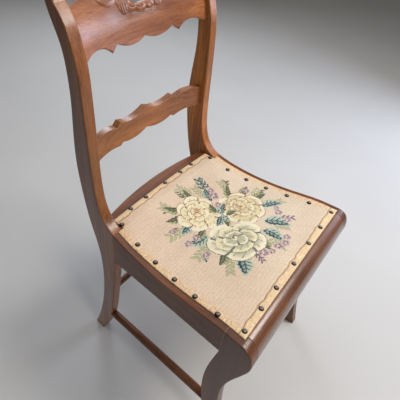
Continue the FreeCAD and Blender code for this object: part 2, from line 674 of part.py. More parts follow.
# Origin on the floor under the middle of the chair's box
boxes = [shape.optimalBoundingBox(False, False) for shape in parts.values()]
shift = V(0, -(min(box.YMin for box in boxes) + max(box.YMax for box in boxes)) / 2, 0)
os.makedirs("parts", exist_ok=True)
for name, shape in parts.items():
    shape.translate(shift)
    shape.exportStep("parts/%s.step" % name)
print("shift in depth %.3f" % shift.y)
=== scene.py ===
import math

import bmesh
import bpy
import numpy as np
from mathutils import Matrix, Vector
from mathutils.bvhtree import BVHTree


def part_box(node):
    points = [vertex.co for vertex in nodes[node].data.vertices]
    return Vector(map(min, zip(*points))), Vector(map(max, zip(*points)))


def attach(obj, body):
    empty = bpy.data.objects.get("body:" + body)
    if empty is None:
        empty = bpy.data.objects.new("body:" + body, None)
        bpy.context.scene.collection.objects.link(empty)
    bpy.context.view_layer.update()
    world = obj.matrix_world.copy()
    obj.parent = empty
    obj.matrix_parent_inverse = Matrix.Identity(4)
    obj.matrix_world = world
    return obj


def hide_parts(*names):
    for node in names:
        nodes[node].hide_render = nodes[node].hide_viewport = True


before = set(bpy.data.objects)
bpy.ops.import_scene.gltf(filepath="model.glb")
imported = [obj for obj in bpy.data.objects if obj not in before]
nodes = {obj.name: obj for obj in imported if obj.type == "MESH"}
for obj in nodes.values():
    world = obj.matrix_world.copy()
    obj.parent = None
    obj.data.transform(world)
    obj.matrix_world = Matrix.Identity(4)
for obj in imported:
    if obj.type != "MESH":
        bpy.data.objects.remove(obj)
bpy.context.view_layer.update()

# Shapes are worked out in millimetres and become metres when a mesh is made.
MM = 0.001

# Where rays start, outside the chair, and the ways they go
BEFORE, BEHIND = -500.0, 900.0
BELOW, ABOVE = 100.0, 900.0
TO_BACK, TO_FRONT = (0, 1, 0), (0, -1, 0)
UP, DOWN = (0, 0, 1), (0, 0, -1)


def smooth(low, high, value):
    """0 before low, 1 after high, and an even curve between them."""
    share = np.clip((value - low) / (high - low), 0, 1)
    return share * share * (3 - 2 * share)


def turned(across, along, angle):
    """Two coordinates in axes that are turned by an angle."""
    return (math.cos(angle) * across + math.sin(angle) * along,
            -math.sin(angle) * across + math.cos(angle) * along)


def corners_of(name):
    """A CAD node's vertices in millimetres."""
    return np.array([v.co for v in nodes[name].data.vertices], float) / MM


def box_of(name):
    """A CAD node's lowest and highest corner in millimetres."""
    return [np.array(corner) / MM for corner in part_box(name)]


def surface_of(name):
    """A CAD node's surface, for rays."""
    mesh = nodes[name].data
    return BVHTree.FromPolygons([v.co for v in mesh.vertices], [p.vertices for p in mesh.polygons])


def hit(surface, start, way):
    """Where a ray first meets a surface, in millimetres, or None."""
    place = surface.ray_cast(Vector(start) * MM, Vector(way))[0]
    return None if place is None else place / MM


def make_piece(name, points, faces, material, slot, shown_for):
    """A new piece from points in millimetres, riding on the chair."""
    mesh = bpy.data.meshes.new(name)
    mesh.from_pydata((np.asarray(points) * MM).tolist(), [], np.asarray(faces).tolist())
    mesh.validate()
    mesh.polygons.foreach_set("use_smooth", [True] * len(mesh.polygons))
    mesh.materials.append(material)
    made = bpy.data.objects.new(name, mesh)
    bpy.context.scene.collection.objects.link(made)
    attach(made, "root")
    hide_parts(*shown_for)
    return made


def grid_faces(rows, columns, start=0):
    """Quads of a grid of points that is numbered row by row."""
    first = start + np.arange(rows - 1)[:, None] * columns + np.arange(columns - 1)[None, :]
    return np.stack([first, first + 1, first + columns + 1, first + columns], -1).reshape(-1, 4)


def drop_loose(shape):
    """Remove a bmesh's vertices that no face uses."""
    bmesh.ops.delete(shape, geom=[v for v in shape.verts if not v.link_faces], context="VERTS")


class Paint:
    """A node material while it is built."""

    def __init__(self, name):
        self.material = bpy.data.materials.new(name)
        self.material.use_nodes = True
        self.nodes = self.material.node_tree.nodes
        self.links = self.material.node_tree.links
        self.shader = self.nodes["Principled BSDF"]
        self.place = self.add("ShaderNodeTexCoord").outputs["Object"]

    def put(self, socket, value):
        if isinstance(value, bpy.types.NodeSocket):
            self.links.new(value, socket)
        else:
            socket.default_value = value

    def add(self, kind, inputs=None, **settings):
        node = self.nodes.new(kind)
        for key, value in settings.items():
            setattr(node, key, value)
        for key, value in (inputs or {}).items():
            self.put(node.inputs[key], value)
        return node

    def noise(self, scales, detail=3.0, roughness=0.5, offset=(0, 0, 0)):
        """Noise from 0 to 1, with one scale or with its own along each axis."""
        if not isinstance(scales, tuple):
            scales = (scales, scales, scales)
        mapping = self.add("ShaderNodeMapping", {"Vector": self.place, "Location": offset, "Scale": scales})
        return self.add("ShaderNodeTexNoise", {"Vector": mapping.outputs[0], "Scale": 1.0, "Detail": detail,
                                               "Roughness": roughness}).outputs[0]

    def threads(self, pitch):
        """Waves from 0 to 1 along X and along Y, one for each thread."""
        parts = self.add("ShaderNodeSeparateXYZ", {0: self.place})
        turns = [self.math("MULTIPLY", parts.outputs[axis], math.pi / pitch) for axis in "XY"]
        return [self.math("ABSOLUTE", self.math("SINE", turn)) for turn in turns]

    def math(self, operation, first, second=0.0):
        return self.add("ShaderNodeMath", {0: first, 1: second}, operation=operation).outputs[0]

    def sum(self, first, first_share, second, second_share):
        """Two values added in the given shares."""
        return self.math("ADD", self.math("MULTIPLY", first, first_share),
                         self.math("MULTIPLY", second, second_share))

    def between(self, value, low, high, new_low=0.0, new_high=1.0):
        """A value carried from one range to another, and held inside it."""
        return self.add("ShaderNodeMapRange", {"Value": value, "From Min": low, "From Max": high,
                                               "To Min": new_low, "To Max": new_high}).outputs[0]

    def ramp(self, value, stops):
        node = self.add("ShaderNodeValToRGB", {0: value})
        elements = node.color_ramp.elements
        while len(elements) < len(stops):
            elements.new(0.5)
        for element, (place, colour) in zip(elements, stops):
            element.position = place
            element.color = (*colour, 1.0)
        return node.outputs[0]

    def mix(self, share, first, second, blend="MIX"):
        node = self.add("ShaderNodeMix", data_type="RGBA", blend_type=blend)
        for index, value in ((0, share), (6, first), (7, second)):
            if isinstance(value, tuple):
                value = (*value, 1.0)
            self.put(node.inputs[index], value)
        return node.outputs[2]

    def finish(self, colour, roughness, height=None, distance=0.0003, strength=0.5, **constants):
        """Set the shader's inputs. A constant's key is the input's name in small letters."""
        self.put(self.shader.inputs["Base Color"], colour)
        self.put(self.shader.inputs["Roughness"], roughness)
        if height is not None:
            bump = self.add("ShaderNodeBump", {"Height": height, "Distance": distance, "Strength": strength})
            self.links.new(bump.outputs[0], self.shader.inputs["Normal"])
        for key, value in constants.items():
            self.put(self.shader.inputs[key.replace("_", " ").title().replace("Ior", "IOR")], value)
        return self.material


def speckled(name, noise, stops, roughness, bump=None, **constants):
    """Material whose colour follows a noise, which raises the surface too if a bump is given."""
    paint = Paint(name)
    grain = paint.noise(*noise)
    colour = paint.ramp(grain, stops)
    if bump is None:
        return paint.finish(colour, roughness, **constants)
    return paint.finish(colour, roughness, grain, *bump, **constants)


# Wood: dark, middle and light of the grain, and the colours of worn edges and of the painted shade in corners
# and grooves
WOOD_TONES = ((0.120, 0.037, 0.015), (0.245, 0.084, 0.032), (0.37, 0.147, 0.060))
WORN_EDGE = (0.46, 0.25, 0.13)
PAINTED_CORNER_SHADE = (0.022, 0.009, 0.006)


def wood(name, grain, seed, shade, polish, amber):
    """Stained and polished wood, worn on its edges, with the grain along one axis.

    Amber turns the stain from red brown towards yellow brown.
    """
    # The shade scales the whole stain of a piece: painted light and shade
    stain = np.array([1.0, 1.0 + 0.06 * amber, 1.0 - 0.3 * amber]) * shade
    dark, middle, light = (tuple(np.array(tone) * stain) for tone in WOOD_TONES)
    paint = Paint(name)
    axis = "XYZ".index(grain)

    def along(across, lengthwise):
        return tuple(lengthwise if index == axis else across for index in range(3))

    shift = (seed * 1.37, seed * 0.71, seed * 2.03)
    figure = paint.noise(along(42.0, 2.6), 5.0, 0.58, shift)
    streaks = paint.noise(along(310.0, 7.0), 3.0, 0.6, shift)
    pores = paint.noise(along(1500.0, 45.0), 2.0, 0.55, shift)
    clouds = paint.noise(7.0, 3.0, 0.5, shift)
    scuffs = paint.between(paint.noise(55.0, 4.0, 0.6, shift), 0.36, 0.62)
    dents = paint.between(paint.noise(170.0, 3.0, 0.6, shift), 0.3, 0.7)

    # Stain of the grain, dark in the pores and uneven over the piece
    colour = paint.ramp(paint.sum(figure, 0.55, streaks, 0.45), ((0.34, dark), (0.5, middle), (0.66, light)))
    colour = paint.mix(paint.between(pores, 0.36, 0.44, 0.55, 0.0), colour, tuple(0.35 * c for c in dark))
    uneven = paint.ramp(clouds, ((0.3, (0.70, 0.67, 0.66)), (0.7, (1.18, 1.15, 1.11))))
    colour = paint.mix(1.0, colour, uneven, "MULTIPLY")

    # Worn edges, and painted shade in corners and grooves
    soft_normal = paint.add("ShaderNodeBevel", {"Radius": 0.0022}, samples=6).outputs[0]
    true_normal = paint.add("ShaderNodeNewGeometry").outputs["Normal"]
    turn = paint.add("ShaderNodeVectorMath", {0: soft_normal, 1: true_normal}, operation="DOT_PRODUCT")
    on_edge = paint.between(turn.outputs["Value"], 0.985, 0.86, 0.0, 0.75)
    colour = paint.mix(paint.math("MULTIPLY", on_edge, scuffs), colour, WORN_EDGE)
    open_sky = paint.add("ShaderNodeAmbientOcclusion", {"Distance": 0.012}, samples=6).outputs["AO"]
    # Painted shade: the colour darkens where ambient occlusion finds the surface hemmed in, as in corners and
    # carved grooves
    colour = paint.mix(paint.between(open_sky, 0.25, 0.85, 0.62, 0.0), colour, PAINTED_CORNER_SHADE)

    roughness = paint.between(paint.sum(clouds, 1.0, streaks, 0.35), 0.4, 1.0, 0.27, 0.46)
    height = paint.math("ADD", paint.math("MULTIPLY", streaks, 0.5), paint.between(pores, 0.34, 0.46))
    height = paint.sum(height, 1.0, dents, 1.1)
    return paint.finish(colour, roughness, height, 0.00022, 0.35, specular_ior_level=0.32,
                        coat_weight=polish, coat_roughness=0.24)


# Camera, fitted to the photograph: its place in metres, then azimuth, elevation and roll in degrees
CAMERA_PLACE = (-0.5016, -0.2857, 1.0202)
CAMERA_ANGLES = (-58.98, 43.41, -8.41)

scene = bpy.context.scene
scene.view_settings.view_transform = "Standard"
camera = bpy.data.objects.new("camera", bpy.data.cameras.new("camera"))
camera.data.lens = 34.65
camera.data.sensor_width = 36.0
scene.collection.objects.link(camera)
azimuth, elevation, roll = (math.radians(angle) for angle in CAMERA_ANGLES)
back = Vector((math.sin(azimuth) * math.cos(elevation), -math.cos(azimuth) * math.cos(elevation),
               math.sin(elevation)))
level = (-back).cross(Vector(UP)).normalized()
down = (-back).cross(level)
right = math.cos(roll) * level + math.sin(roll) * down
upward = math.sin(roll) * level - math.cos(roll) * down
camera_turn = Matrix((right, upward, back)).transposed().to_4x4()
camera.matrix_world = Matrix.Translation(CAMERA_PLACE) @ camera_turn
scene.camera = camera


# Light and floor
def soft_light(name, place, target, width, power, colour):
    lamp = bpy.data.lights.new(name, "AREA")
    lamp.shape = "DISK"
    lamp.size = width
    lamp.energy = power
    lamp.color = colour
    made = bpy.data.objects.new(name, lamp)
    made.location = place
    made.rotation_euler = (Vector(target) - Vector(place)).to_track_quat("-Z", "Y").to_euler()
    scene.collection.objects.link(made)


soft_light("key", (0.8, -1.0, 2.2), (0.0, 0.0, 0.5), 0.9, 33.0, (1.0, 0.955, 0.89))
soft_light("top", (0.1, 0.5, 2.4), (0.0, 0.0, 0.4), 1.6, 14.0, (0.88, 0.94, 1.0))
soft_light("side", (-0.45, -1.3, 1.5), (0.0, 0.0, 0.5), 0.4, 6.5, (1.0, 0.92, 0.84))
soft_light("window", (1.8, -0.65, 0.95), (0.0, 0.1, 0.7), 0.9, 17.0, (0.68, 0.77, 1.0))
soft_light("back", (1.5, 1.8, 1.4), (0.0, 0.0, 0.5), 0.9, 14.0, (0.84, 0.90, 1.0))
soft_light("low", (-0.9, -2.0, 0.6), (0.0, 0.0, 0.5), 0.3, 1.2, (1.0, 0.96, 0.92))
scene.world = bpy.data.worlds.new("studio")
scene.world.use_nodes = True
background = scene.world.node_tree.nodes["Background"]
background.inputs["Color"].default_value = (1.0, 0.97, 0.94, 1.0)
background.inputs["Strength"].default_value = 0.12

floor_mesh = bpy.data.meshes.new("floor")
floor_mesh.from_pydata([(-6, -6, 0), (6, -6, 0), (6, 6, 0), (-6, 6, 0)], [], [(0, 1, 2, 3)])
floor_mesh.materials.append(speckled("floor", (2.0, 2.0),
                                     ((0.3, (0.57, 0.56, 0.545)), (0.7, (0.60, 0.59, 0.575))), 0.8))
floor = bpy.data.objects.new("floor", floor_mesh)
scene.collection.objects.link(floor)

# Frame of the chair: CAD pieces with new surfaces. The shade is painted light and shade: the left rear post
# and the slat are made lighter, and the legs, rails and stretchers darker, for how brightly each is lit. Way
# of the grain, shade, polish and amber of each:
FRAME_WOOD = {
    "rear_post_left": ("Z", 1.65, 0.2, 1.0), "rear_post_right": ("Z", 0.98, 0.5, 0.5),
    "front_leg_left": ("Z", 0.66, 0.3, 0.0), "front_leg_right": ("Z", 0.55, 0.3, 0.0),
    "side_rail_left": ("Y", 0.8, 0.2, 0.3), "side_rail_right": ("Y", 0.66, 0.2, 0.2),
    "side_stretcher_left": ("Y", 0.75, 0.2, 0.2), "side_stretcher_right": ("Y", 0.7, 0.2, 0.2),
    "front_rail": ("X", 0.66, 0.9, 0.2), "rear_seat_rail": ("X", 0.8, 0.2, 0.0),
    "back_slat": ("X", 1.3, 0.4, 0.7), "rear_stretcher": ("X", 0.75, 0.2, 0.2),
}


def coat(name, material):
    """Give a CAD node a new surface."""
    node = nodes[name]
    if not node.material_slots:
        node.data.materials.append(None)
    for place in node.material_slots:
        place.link = "OBJECT"
        place.material = material


def nail_material():
    """Darkened brass, pale on top of the heads: partly wear, partly a painted highlight."""
    paint = Paint("nail_brass")
    normal = paint.add("ShaderNodeSeparateXYZ", {0: paint.add("ShaderNodeNewGeometry").outputs["Normal"]})
    patina = paint.noise(650.0, 4.0, 0.6)
    # Pale where the head faces up: worn metal with a painted highlight on the crown
    crown_wear_and_highlight = paint.math("ADD", normal.outputs["Z"], paint.between(patina, 0.3, 0.7, -0.06, 0.06))
    tone = paint.ramp(crown_wear_and_highlight, ((0.62, (0.012, 0.009, 0.007)), (0.84, (0.040, 0.032, 0.026)),
                             (0.95, (0.17, 0.15, 0.125))))
    return paint.finish(tone, paint.between(patina, 0.3, 0.7, 0.34, 0.55), patina, 0.0002, 0.3, metallic=0.35)


for index, (name, (grain, shade, polish, amber)) in enumerate(FRAME_WOOD.items()):
    coat(name, wood("wood_" + name, grain, index + 1.0, shade, polish, amber))
block_wood = speckled("block_wood", ((18.0, 300.0, 60.0), 4.0, 0.6),
                      ((0.3, (0.30, 0.19, 0.10)), (0.7, (0.46, 0.32, 0.18))), 0.75, (0.0003, 0.4))
for name in nodes:
    if name.startswith("corner_block") or name == "rail_dowels":
        coat(name, block_wood)
for name, slot, scale, dark, light, roughness, metallic in (
        ("block_screws", "screw_steel", 400.0, (0.25, 0.22, 0.19), (0.42, 0.40, 0.37), 0.45, 0.9),
        ("webbing_tacks", "tack_steel", 500.0, (0.05, 0.05, 0.06), (0.13, 0.12, 0.12), 0.5, 0.8)):
    steel = speckled(slot, (scale,), ((0.35, dark), (0.7, light)), roughness, metallic=metallic)
    coat(name, steel)
coat("decorative_nails", nail_material())

# Crest rail: its bend, outline and hand-hold are read from the CAD solid. The carving is added to its front.
crest_solid = surface_of("crest_rail")
crest_low, crest_high = box_of("crest_rail")
plain_height = crest_low[2] + 28.0


def in_crest(x, z):
    """Whether the crest is there, seen from the front."""
    return hit(crest_solid, (x, BEFORE, z), TO_BACK) is not None


def edge_between(inside, outside, test):
    """Where a test turns from true to false, on a line."""
    for _ in range(22):
        middle = (inside + outside) / 2
        if test(middle):
            inside = middle
        else:
            outside = middle
    return (inside + outside) / 2


gap_heights = [z for z in np.arange(plain_height, crest_high[2] - 4, 0.5) if not in_crest(0.0, z)]
hold_middle = (gap_heights[0] + gap_heights[-1]) / 2
hold_rise = gap_heights[-1] - hold_middle
hold_half = edge_between(90.0, 0.0, lambda x: in_crest(x, hold_middle))

# The front is a turned surface: (y - axis)^2 + x^2 depends on the height alone
BEND_TERMS = 5
samples = [hit(crest_solid, (x, BEFORE, z), TO_BACK) for x in np.arange(-126.0, 127.0, 9.0)
           for z in np.linspace(crest_low[2] + 0.5, crest_high[2] - 0.5, 30)]
samples = np.array([place for place in samples if place is not None])
samples = samples[samples[:, 1] < crest_high[1]]


def bend_powers(z):
    """Powers of the height that the bend is made of."""
    return [((z - plain_height) / 100.0) ** power for power in range(BEND_TERMS)]


bend = np.linalg.lstsq(np.stack([2 * samples[:, 1]] + bend_powers(samples[:, 2]), 1),
                       samples[:, 1] ** 2 + samples[:, 0] ** 2, rcond=None)[0]
bend_axis = bend[0]


def bend_radius(z):
    """Distance of the front from the axis of the bend."""
    return np.sqrt(sum(share * power for share, power in zip(bend[1:], bend_powers(z))) + bend_axis ** 2)


crest_thick = (hit(crest_solid, (0.0, BEHIND, plain_height), TO_FRONT)[1]
               - hit(crest_solid, (0.0, BEFORE, plain_height), TO_BACK)[1])

# Inner faces of the posts, which taper with the side frames
rear_low, rear_high = box_of("rear_seat_rail")
front_low, front_high = box_of("front_rail")
taper = (rear_high[0] - front_high[0]) / (rear_low[1] - front_low[1])


def post_face(y):
    return rear_high[0] + taper * (y - rear_low[1])


# Places in the carving: how far to the side, and how far above the middle of the hand-hold
PETAL_MIDDLE, PETAL_HALVES = (68.0, 10.0), (29.0, 21.0)
EYE_MIDDLE, EYE_RADIUS = (73.0, 15.0), 8.0
LEAF_START, LEAF_WAY = (44.0, 13.0), (-6.0, -39.0)
LEAF_LENGTH, LEAF_HALF, VEIN_PITCH = 39.5, 13.5, 5.2
BORDER_LOBES = 6.0
SHELL_FLUTES, SHELL_CENTRE = 13.0, -34.0


def carved_petal(side, rise):
    """Big rounded petal with a dished middle, a curling line and a small eye."""
    u = (side - PETAL_MIDDLE[0]) / PETAL_HALVES[0]
    v = (rise - PETAL_MIDDLE[1]) / PETAL_HALVES[1]
    swirl = np.arctan2(v, u)
    radius = np.hypot(u, v) * (1.0 + 0.05 * np.cos(2 * swirl + 0.6))
    petal = 3.6 * np.sqrt(np.clip(1.0 - radius ** 4, 0, 1)) - 2.1 * smooth(0.80, 0.25, radius)
    eye = np.hypot(side - EYE_MIDDLE[0], rise - EYE_MIDDLE[1]) / EYE_RADIUS
    petal = np.maximum(petal, 3.3 * np.sqrt(np.clip(1.0 - eye ** 2, 0, 1)))
    from_line = np.abs((swirl / (2 * np.pi) + 0.9 * radius) % 1.0 - 0.5)
    curl = smooth(0.10, 0.02, from_line) * smooth(0.95, 0.8, radius)
    return np.where(radius < 1, petal - 0.55 * curl * (radius > 0.32), 0)


def carved_leaf(side, rise):
    """Leaf beside the hand-hold that points down, with long veins."""
    lean = math.atan2(LEAF_WAY[1], LEAF_WAY[0])
    run, aside = turned(side - LEAF_START[0], rise - LEAF_START[1], lean)
    run = run / LEAF_LENGTH
    width = LEAF_HALF * np.sin(np.pi * np.clip(run * 0.72 + 0.28, 0, 1)) ** 0.33
    inside = (run > -0.37) & (run < 1.0) & (np.abs(aside) < width)
    arch = np.sqrt(np.clip(1 - (aside / np.maximum(width, 0.1)) ** 2, 0, 1))
    blade = 3.2 * arch * (0.55 + 0.45 * smooth(1.0, 0.5, run))
    veins = 0.7 * np.cos(aside * 2 * np.pi / VEIN_PITCH) - 0.5 * smooth(0.9, 0.0, np.abs(aside))
    return np.where(inside, blade + veins * smooth(0.0, 3.0, width - np.abs(aside)), 0)


def carved_border(x, rise):
    """Border of leaf lobes round the hand-hold, with grooves along and between them."""
    ring = np.hypot(x / hold_half, rise / hold_rise)
    turn = np.arctan2(rise / hold_rise, np.abs(x) / hold_half)
    beyond = (ring - 1.0) * 21.0
    lobes = np.abs(np.cos(turn * BORDER_LOBES + 0.35 * np.sin(x / 17.0)))
    reach = 6.4 + 5.4 * lobes ** 0.7 + 5.0 * smooth(0.2, -0.8, np.sin(turn))
    share = np.clip(beyond, 0, None) / reach
    frill = 3.0 * np.sqrt(np.clip(1 - ((share - 0.25) / 0.75) ** 2, 0, 1))
    groove = smooth(0.10, 0.0, np.abs(share - 0.42 - 0.12 * lobes))
    groove = groove + 0.6 * smooth(0.12, 0.0, 1.0 - lobes) * smooth(0.35, 0.6, share)
    return np.where(beyond < reach, frill - 0.8 * groove - 0.5 * smooth(0.5, 0.1, lobes), 0)


def carved_shell(side, rise):
    """Fluted shell over the hand-hold."""
    flutes = np.abs(np.cos(np.arctan2(side, rise - SHELL_CENTRE) * SHELL_FLUTES))
    height = 2.3 + 0.9 * flutes - 0.4 * smooth(0.25, 0.0, flutes)
    return height * smooth(hold_rise + 4.0, hold_rise + 7.0, rise) * smooth(54.0, 47.0, side)


def carving(x, z):
    """Height of the carving above or below the plain front of the crest."""
    side = np.abs(x)
    rise = z - hold_middle
    motif = np.maximum.reduce([carved_petal(side, rise), carved_leaf(side, rise), carved_border(x, rise),
                               carved_shell(side, rise)])
    ground = smooth(-48.0, -28.0, rise) * smooth(84.0, 50.0, side)
    punches = np.sin(x * 2.1 + 0.8 * np.sin(z * 0.9)) * np.sin(z * 2.3 + 0.7 * np.sin(x * 0.7))
    punched = smooth(-40.0, -34.0, rise) * smooth(54.0, 34.0, side) * smooth(0.05, 0.6, punches)
    return motif - 0.8 * ground - 0.9 * punched * smooth(0.3, 0.0, motif)


CREST_COLUMNS = 421
LOWER_ROWS, UPPER_ROWS = 92, 58
RIM_STEPS = 7
EDGE_STEPS = np.array([0.0, 0.18, 0.6, 1.2, 1.9, 2.7])
NOWHERE = 1e6


def crest_rows(low, high, count, round_low):
    """Heights from one edge to the other, close together at the edge that is rounded."""
    start = EDGE_STEPS if round_low else EDGE_STEPS[:1]
    end = EDGE_STEPS[:1] if round_low else EDGE_STEPS[::-1]
    first = low + start[:, None]
    last = high - end[:, None]
    inner = np.linspace(0, 1, count)[1:-1]
    return np.concatenate([first, first[-1] + inner[:, None] * (last[0] - first[-1]), last])


def rounded(distance, radius=2.0):
    """How far a face falls back near a rounded edge."""
    gone = np.clip(1 - distance / radius, 0, 1)
    return radius * (1 - np.sqrt(1 - gone ** 2))


def crest_outline(across, span):
    """Heights of the crest's lower and upper edge over its width."""
    probes = np.linspace(-span + 8, span - 8, 361)
    over_hold = np.where(np.abs(probes) < hold_half + 4, gap_heights[-1] + 5.0, plain_height + 15)
    low_edge = [edge_between(plain_height, crest_low[2] - 3, lambda z: in_crest(x, z)) for x in probes]
    high_edge = [edge_between(start, crest_high[2] + 3, lambda z: in_crest(x, z))
                 for x, start in zip(probes, over_hold)]
    return np.interp(across, probes, low_edge), np.interp(across, probes, high_edge)


def build_crest():
    """Carved front, plain back and rims, below and then above the hand-hold's middle."""
    columns = CREST_COLUMNS
    span = post_face(samples[:, 1].min())
    across = np.linspace(-span, span, columns)
    side = np.abs(across)
    low_edge, high_edge = crest_outline(across, span)
    open_hold = side < hold_half
    half_height = hold_rise * np.sqrt(np.clip(1 - (across / hold_half) ** 2, 0, 1))
    middle = hold_middle - 32.0 * smooth(hold_half, span, side)
    points = []
    faces = []
    count = 0
    for upper in (False, True):
        if upper:
            edge, lip = high_edge, middle + half_height
            heights = crest_rows(lip, edge, UPPER_ROWS, False)
        else:
            edge, lip = low_edge, middle - half_height
            heights = crest_rows(edge, lip, LOWER_ROWS, True)
        rows = len(heights)
        from_edge = np.abs(heights - edge) / np.sqrt(1 + np.gradient(edge, across) ** 2)
        from_lip = np.where(open_hold, np.abs(heights - lip), NOWHERE)
        radius = bend_radius(heights)
        steep = bend_radius(heights + 0.5) - bend_radius(heights - 0.5)
        x = np.broadcast_to(across, heights.shape)
        y = bend_axis + np.sqrt(radius ** 2 - x ** 2)
        fall = np.maximum(rounded(from_edge), rounded(from_lip, 1.6))
        lift = (carving(x, heights) * smooth(0.0, 2.0, from_edge) - fall) / np.sqrt(1 + steep ** 2)
        front = np.stack([x - lift * x / radius, y - lift * (y - bend_axis) / radius,
                          heights + lift * steep], -1)

        # The back has fewer rows. Its top is rounded over, and its hand-hold flares.
        pick = np.unique(np.concatenate([np.arange(0, rows, 8), np.arange(6), np.arange(rows - 6, rows)]))
        rear_fall = np.maximum(rounded(from_edge[pick]), rounded(from_lip[pick], 5.0))
        if upper:
            rear_fall = np.maximum(rear_fall, 13.0 * smooth(11.0, 0.0, from_edge[pick]))
        rear_y = bend_axis + np.sqrt((radius[pick] + crest_thick) ** 2 - x[pick] ** 2) - rear_fall
        flare = 6.0 * smooth(20.0, 0.0, from_lip[pick]) * smooth(hold_half, hold_half - 7, side)
        rear = np.stack([x[pick], rear_y, heights[pick] + (flare if upper else -flare)], -1)
        for layer in (front, rear):
            ends = smooth(0.93, 1.0, np.abs(layer[..., 0]) / span)
            layer[..., 0] += np.sign(layer[..., 0]) * ends * (post_face(layer[..., 1]) - span)
        front_start = count
        rear_start = count + rows * columns
        points += [front.reshape(-1, 3), rear.reshape(-1, 3)]
        faces += [grid_faces(rows, columns, front_start), grid_faces(len(pick), columns, rear_start)[:, ::-1]]
        count = rear_start + len(pick) * columns

        # Outer rim and, round the hand-hold, the inner rim
        first_rows = (0, 0)
        last_rows = (rows - 1, len(pick) - 1)
        rims = ((last_rows if upper else first_rows, np.ones(columns - 1, bool)),
                (first_rows if upper else last_rows, open_hold[1:] | open_hold[:-1]))
        for (front_row, rear_row), kept in rims:
            shares = np.linspace(0, 1, RIM_STEPS + 2)[1:-1, None, None]
            between = front[front_row] + shares * (rear[rear_row] - front[front_row])
            points.append(between.reshape(-1, 3))
            starts = [count + step * columns for step in range(RIM_STEPS)]
            starts = [front_start + front_row * columns, *starts, rear_start + rear_row * columns]
            for start, after in zip(starts, starts[1:]):
                step = np.arange(columns - 1)[kept]
                quads = np.stack([start + step, after + step, after + step + 1, start + step + 1], -1)
                faces.append(quads if front_row == 0 else quads[:, ::-1])
            count += RIM_STEPS * columns
    # The crest's wood is given a light shade: painted light, as on the lighter pieces of the frame
    made = make_piece("crest_carved", np.concatenate(points), np.concatenate(faces),
                      wood("wood_crest", "X", 21.0, 1.3, 0.6, 0.2), "frame_wood", ["crest_rail"])
    shape = bmesh.new()
    shape.from_mesh(made.data)
    bmesh.ops.remove_doubles(shape, verts=shape.verts, dist=0.02 * MM)
    drop_loose(shape)
    shape.to_mesh(made.data)
    shape.free()


build_crest()

# Seat cover: plan and height are read from the CAD solid. A tongue goes back between the posts.
COVER_THICK = 1.7
cover_points = corners_of("seat_cover")
cover_solid = surface_of("seat_cover")
cover_front = cover_points[:, 1].min()
cover_end = cover_points[:, 1].max()
front_half = np.abs(cover_points[cover_points[:, 1] < cover_front + 0.5, 0]).max()
tongue_half = np.abs(cover_points[cover_points[:, 1] > cover_end - 15, 0]).max()
shoulder = cover_points[np.abs(cover_points[:, 0]) > tongue_half + 2]
step_depth = shoulder[:, 1].max()
step_half = np.abs(shoulder[shoulder[:, 1] > step_depth - 0.5, 0]).max()
tongue_corner = cover_points[np.abs(cover_points[:, 0]) > tongue_half - 0.5, 1].max()
profile_depths = np.linspace(cover_front + 0.2, cover_end - 4.0, 240)
profile_heights = []
for depth in profile_depths:
    tops = [hit(cover_solid, (x, depth, ABOVE), DOWN) for x in (24.0, 31.0, 38.0)]
    profile_heights.append(max(place[2] for place in tops if place is not None))


def cover_half(y):
    """Half the cover's width in front of the posts."""
    share = np.clip((y - cover_front) / (step_depth - cover_front), 0, 1)
    return front_half + share * (step_half - front_half)


def tongue_edge(x):
    """How far back the tongue's bowed edge is."""
    return cover_end + (tongue_corner - cover_end) * (x / tongue_half) ** 2


def nail_spots():
    """Middles of the decorative nails, found from their heads' highest points."""
    points = corners_of("decorative_nails")
    spots = []
    for point in points[np.argsort(-points[:, 2])]:
        if all(np.hypot(*(point[:2] - spot)) > 6.0 for spot in spots):
            away = np.hypot(points[:, 0] - point[0], points[:, 1] - point[1])
            head = points[(away < 6.5) & (points[:, 2] > point[2] - 6.0), :2]
            spots.append((head.min(0) + head.max(0)) / 2)
    return np.array(spots)


nails = nail_spots()

# The cover is a grid of threads. Only every fourth one is simulated.
STITCH = 1.5
COARSE = 4
half_columns = COARSE * round(step_half / STITCH / COARSE)
main_rows = COARSE * round((step_depth - cover_front) / STITCH / COARSE)
tongue_rows = COARSE * round((cover_end - step_depth) / STITCH / COARSE)
cover_columns = 2 * half_columns + 1
cover_rows = main_rows + tongue_rows + 1
tongue_column = round(half_columns * tongue_half / step_half / COARSE) * COARSE


def cover_plan():
    """Flat places of the cover's threads, row by row from the front."""
    row = np.arange(cover_rows)[:, None]
    depth = cover_front + (step_depth - cover_front) * np.minimum(row / main_rows, 1)
    x = np.linspace(-1, 1, cover_columns) * cover_half(depth)
    y = depth + (tongue_edge(x) - step_depth) * np.maximum((row - main_rows) / tongue_rows, 0)
    # The tongue between the posts takes its edge from the nearest column
    edge_shift = tongue_half / (tongue_column / half_columns * step_half) - 1
    lean = smooth(main_rows - 60, main_rows, row)
    from_middle = np.abs(np.arange(cover_columns) - half_columns)
    inner = np.minimum(from_middle / tongue_column, 1)
    outer = smooth(half_columns, tongue_column, from_middle)
    return x * (1 + edge_shift * lean * inner * outer), y


def kept_faces(step):
    """Cells of the cover that are cloth and not the gap for a post, on every so many threads."""
    rows = np.arange(0, cover_rows - 1, step)
    columns = np.arange(0, cover_columns - 1, step)
    from_middle = np.abs(columns + step / 2 - half_columns)
    return (rows[:, None] < main_rows) | (from_middle < tongue_column)


CLOTH = {"quality": 6, "mass": 0.25, "tension_stiffness": 25, "compression_stiffness": 25,
         "shear_stiffness": 12, "bending_stiffness": 1.5, "use_pressure": True, "uniform_pressure_force": 1.6}
CLOTH_FRAMES = 24
EDGE_HOLD = 0.55


